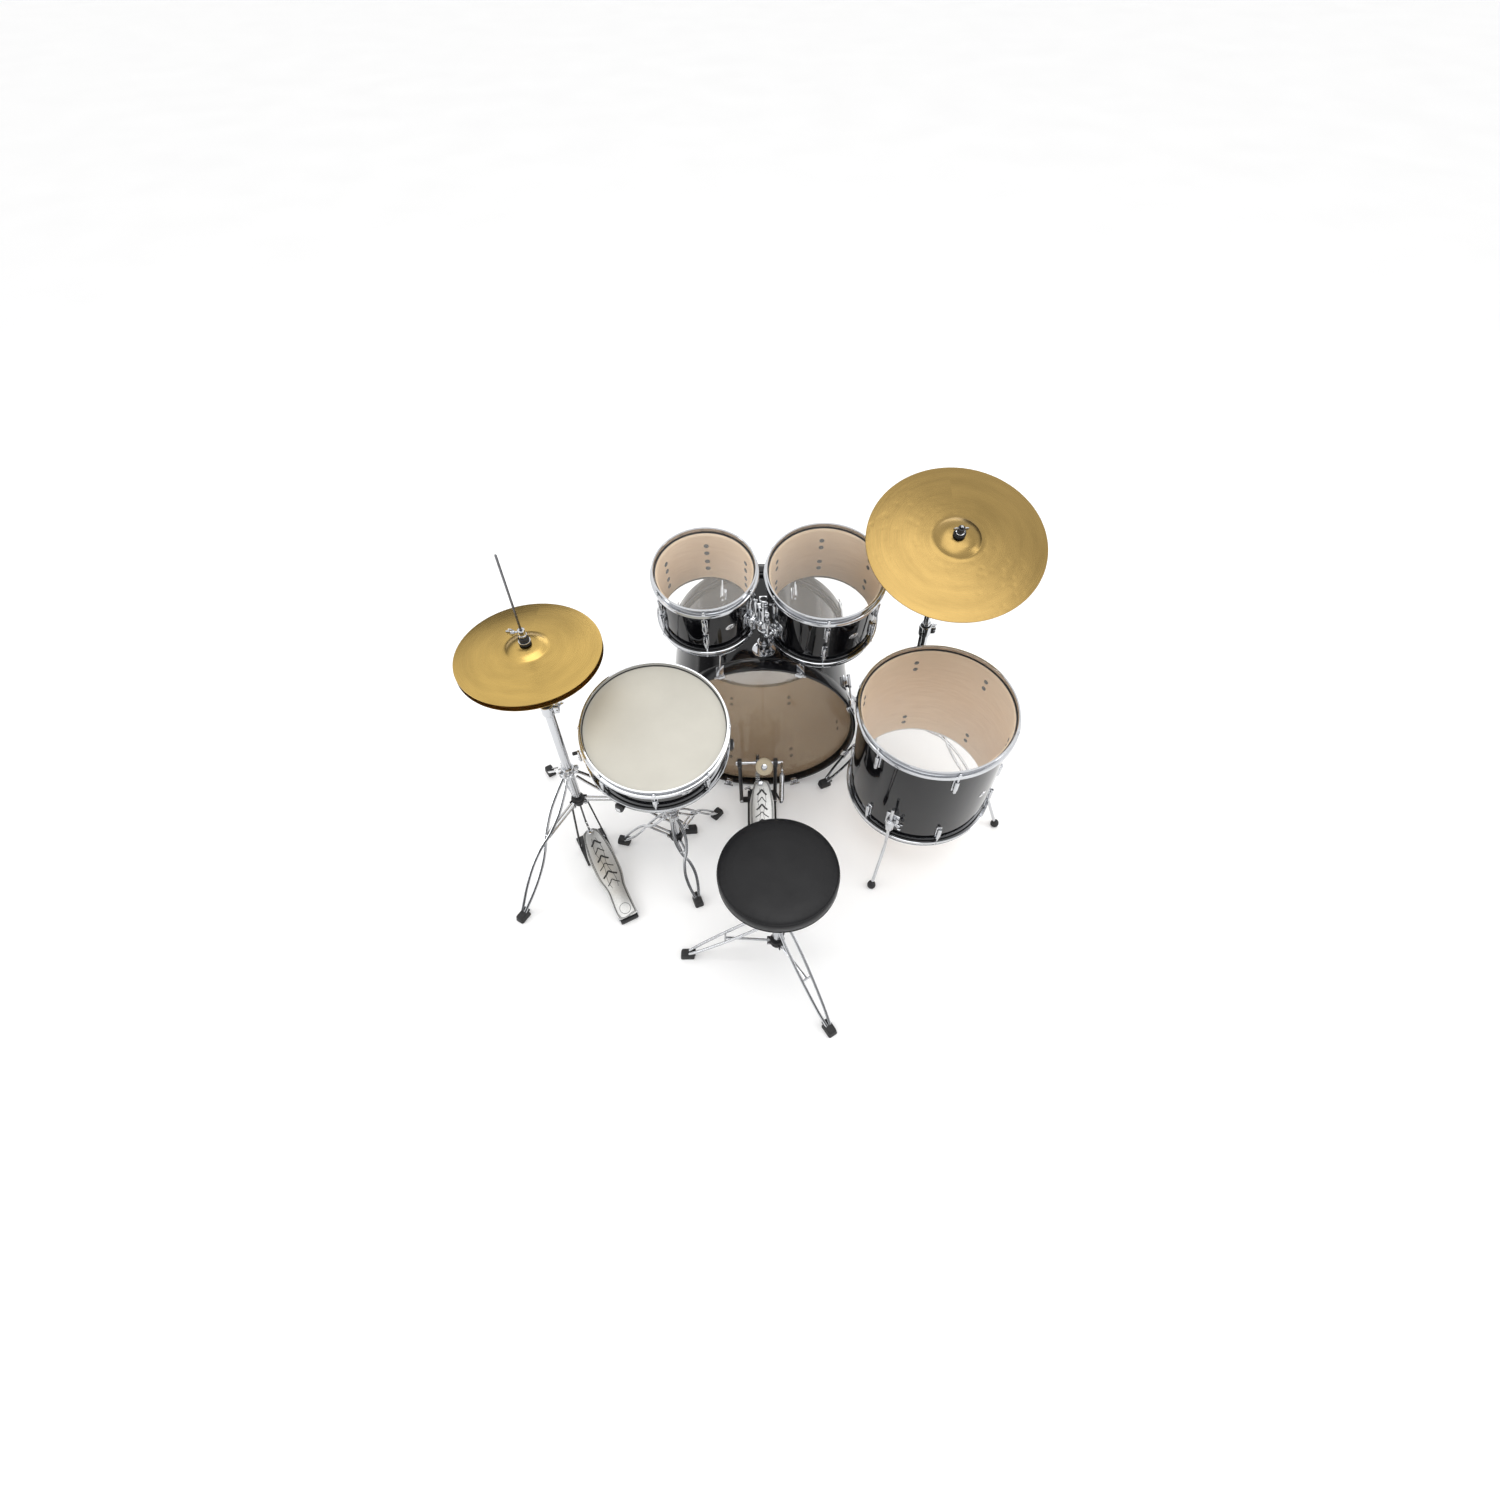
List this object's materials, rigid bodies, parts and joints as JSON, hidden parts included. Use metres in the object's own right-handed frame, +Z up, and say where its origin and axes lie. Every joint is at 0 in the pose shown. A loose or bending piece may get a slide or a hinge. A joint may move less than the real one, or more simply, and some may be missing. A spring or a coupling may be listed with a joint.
{
  "type": "acoustic drum kit",
  "caption": "Acoustic drum kit: bass drum, two rack toms, floor tom, snare drum, hi-hat, crash cymbal, foot pedals and a round throne, on chrome tripod stands",
  "frame": {"origin": "centre of the bass drum pedal base plate, on the floor", "axes": "+X to the drummer's right, +Y away from the drummer along the bass drum, +Z up"},
  "size_m": [1.5249, 1.3121, 1.108],
  "materials": {
    "chrome": "mirror bright plating",
    "black_lacquer": "gloss black lacquer on a wood shell",
    "clear_head": "clear polyester film",
    "coated_head": "coated film",
    "smoked_head": "smoked translucent film",
    "cymbal_brass": "lathed brass",
    "dark_steel": "dark plated steel",
    "black_metal": "satin black paint",
    "grey_metal": "satin silver-grey",
    "steel_wire": "coiled steel wire",
    "felt": "pressed felt",
    "black_rubber": "moulded black",
    "vinyl": "black vinyl"
  },
  "bodies": {
    "root": {"bass_shell": "black_lacquer", "bass_batter_hoop": "black_lacquer", "bass_front_hoop": "black_lacquer", "bass_batter_head": "smoked_head", "bass_front_head": "clear_head", "bass_pedal_frame": "black_metal", "bass_pedal_spring": "chrome", "floor_tom_shell": "black_lacquer", "floor_tom_top_hoop": "chrome", "floor_tom_bottom_hoop": "chrome", "floor_tom_batter_head": "clear_head", "floor_tom_lower_head": "clear_head", "snare_stand_base": "chrome", "hihat_base": "chrome", "hihat_pedal_frame": "black_metal", "crash_base": "chrome", "throne_base": "chrome"},
    "left_spur": {"bass_left_spur": "chrome"},
    "right_spur": {"bass_right_spur": "chrome"},
    "bass_footboard": {"bass_footboard": "grey_metal"},
    "beater": {"bass_pedal_axle": "dark_steel", "bass_beater": "felt"},
    "tom_post": {"tom_holder_post": "chrome"},
    "left_tom": {"left_tom_arm": "chrome", "left_tom_shell": "black_lacquer", "left_tom_top_hoop": "chrome", "left_tom_bottom_hoop": "chrome", "left_tom_batter_head": "clear_head", "left_tom_lower_head": "clear_head"},
    "right_tom": {"right_tom_arm": "chrome", "right_tom_shell": "black_lacquer", "right_tom_top_hoop": "chrome", "right_tom_bottom_hoop": "chrome", "right_tom_batter_head": "clear_head", "right_tom_lower_head": "clear_head"},
    "floor_leg_1": {"floor_tom_leg_1": "chrome"},
    "floor_leg_2": {"floor_tom_leg_2": "chrome"},
    "floor_leg_3": {"floor_tom_leg_3": "chrome"},
    "snare_tube": {"snare_stand_tube": "chrome"},
    "snare": {"snare_basket": "chrome", "snare_shell": "black_lacquer", "snare_top_hoop": "chrome", "snare_bottom_hoop": "chrome", "snare_batter_head": "coated_head", "snare_lower_head": "clear_head", "snare_wires": "steel_wire"},
    "throw_lever": {"snare_throw_lever": "grey_metal"},
    "hihat_tube": {"hihat_tube": "chrome", "hihat_lower_cymbal": "cymbal_brass"},
    "hihat_rod": {"hihat_pull_rod": "dark_steel"},
    "hihat_top": {"hihat_clutch": "chrome", "hihat_upper_cymbal": "cymbal_brass"},
    "hihat_footboard": {"hihat_footboard": "grey_metal"},
    "crash_tube": {"crash_tube": "chrome"},
    "crash_tilter": {"crash_tilter": "chrome"},
    "crash_cymbal": {"crash_cymbal": "cymbal_brass"},
    "crash_nut": {"crash_wing_nut": "black_rubber"},
    "throne_post": {"throne_post": "chrome"},
    "throne_seat": {"throne_seat_pan": "black_metal", "throne_cushion": "vinyl"}
  },
  "joints": [
    {"name": "bass_footboard_press", "type": "hinge", "parent": "root", "child": "bass_footboard", "pos_m": [0, -0.148, 0.024], "axis": [-1, 0, 0], "range_deg": [0, 8.2]},
    {"name": "bass_beater_swing", "type": "hinge", "parent": "root", "child": "beater", "pos_m": [0, 0.09, 0.215], "axis": [-1, 0, 0], "range_deg": [0, 52.6], "stiffness_Nm_per_rad": 1.2, "springref_deg": -20.05},
    {"name": "left_spur_fold", "type": "hinge", "parent": "root", "child": "left_spur", "pos_m": [-0.26535, 0.475, 0.15905], "axis": [-0.845, 0, 0.5348], "range_deg": [0, 105]},
    {"name": "right_spur_fold", "type": "hinge", "parent": "root", "child": "right_spur", "pos_m": [0.26535, 0.475, 0.15905], "axis": [-0.845, 0, -0.5348], "range_deg": [0, 105]},
    {"name": "tom_post_height", "type": "slide", "parent": "root", "child": "tom_post", "axis": [0, 0, 1], "range_m": [0, 0.05]},
    {"name": "left_tom_tilt", "type": "hinge", "parent": "tom_post", "child": "left_tom", "pos_m": [0, 0.1873, 0.756], "axis": [1, 0, 0], "range_deg": [-10, 10]},
    {"name": "right_tom_tilt", "type": "hinge", "parent": "tom_post", "child": "right_tom", "pos_m": [0.02, 0.1873, 0.738], "axis": [1, 0, 0], "range_deg": [-3, 6]},
    {"name": "floor_leg_1_height", "type": "slide", "parent": "root", "child": "floor_leg_1", "axis": [-0.02, -0.095, 0.9953], "range_m": [-0.03, 0.06]},
    {"name": "floor_leg_2_height", "type": "slide", "parent": "root", "child": "floor_leg_2", "axis": [-0.02, -0.095, 0.9953], "range_m": [-0.03, 0.06]},
    {"name": "floor_leg_3_height", "type": "slide", "parent": "root", "child": "floor_leg_3", "axis": [-0.02, -0.095, 0.9953], "range_m": [-0.03, 0.04]},
    {"name": "snare_height", "type": "slide", "parent": "root", "child": "snare_tube", "axis": [0, 0, 1], "range_m": [-0.03, 0.06]},
    {"name": "snare_tilt", "type": "hinge", "parent": "snare_tube", "child": "snare", "pos_m": [-0.27614, -0.10154, 0.49767], "axis": [1, 0, 0], "range_deg": [-8, 8]},
    {"name": "throw_lever_swing", "type": "hinge", "parent": "snare", "child": "throw_lever", "pos_m": [-0.45832, -0.17977, 0.58231], "axis": [0.2918, -0.9284, -0.2301], "range_deg": [0, 60]},
    {"name": "hihat_height", "type": "slide", "parent": "root", "child": "hihat_tube", "axis": [0, 0, 1], "range_m": [-0.04, 0]},
    {"name": "hihat_rod_pull", "type": "slide", "parent": "root", "child": "hihat_rod", "axis": [0, 0, 1], "range_m": [-0.014, 0], "stiffness_N_per_m": 2500, "springref_m": 0.02},
    {"name": "hihat_clutch_height", "type": "slide", "parent": "hihat_rod", "child": "hihat_top", "axis": [0, 0, 1], "range_m": [0, 0.06]},
    {"name": "hihat_footboard_press", "type": "hinge", "parent": "root", "child": "hihat_footboard", "pos_m": [-0.4082, -0.32404, 0.022], "axis": [0.8838, 0.4679, 0], "range_deg": [-2.8, 0]},
    {"name": "crash_height", "type": "slide", "parent": "root", "child": "crash_tube", "axis": [0, 0, 1], "range_m": [-0.05, 0.1]},
    {"name": "crash_tilt", "type": "hinge", "parent": "crash_tube", "child": "crash_tilter", "pos_m": [0.49984, 0.25649, 0.85443], "axis": [1, 0, 0], "range_deg": [-15, 10]},
    {"name": "crash_rock", "type": "hinge", "parent": "crash_tilter", "child": "crash_cymbal", "pos_m": [0.49863, 0.22126, 0.94876], "axis": [1, 0, 0], "range_deg": [-4, 4], "stiffness_Nm_per_rad": 12},
    {"name": "crash_wing_nut_turn", "type": "hinge", "parent": "crash_tilter", "child": "crash_nut", "pos_m": [0.49846, 0.21625, 0.96215], "axis": [-0.012, -0.3499, 0.9367], "continuous": true},
    {"name": "throne_height", "type": "slide", "parent": "root", "child": "throne_post", "axis": [0, 0, 1], "range_m": [-0.05, 0.08]},
    {"name": "throne_swivel", "type": "hinge", "parent": "throne_post", "child": "throne_seat", "pos_m": [0.036, -0.45, 0.45], "axis": [0, 0, 1], "continuous": true}
  ],
  "couplings": [
    {"joint": "bass_beater_swing", "follows": "bass_footboard_press", "ratio": 6.4},
    {"joint": "hihat_footboard_press", "follows": "hihat_rod_pull", "rad_per_m": 3.42}
  ]
}
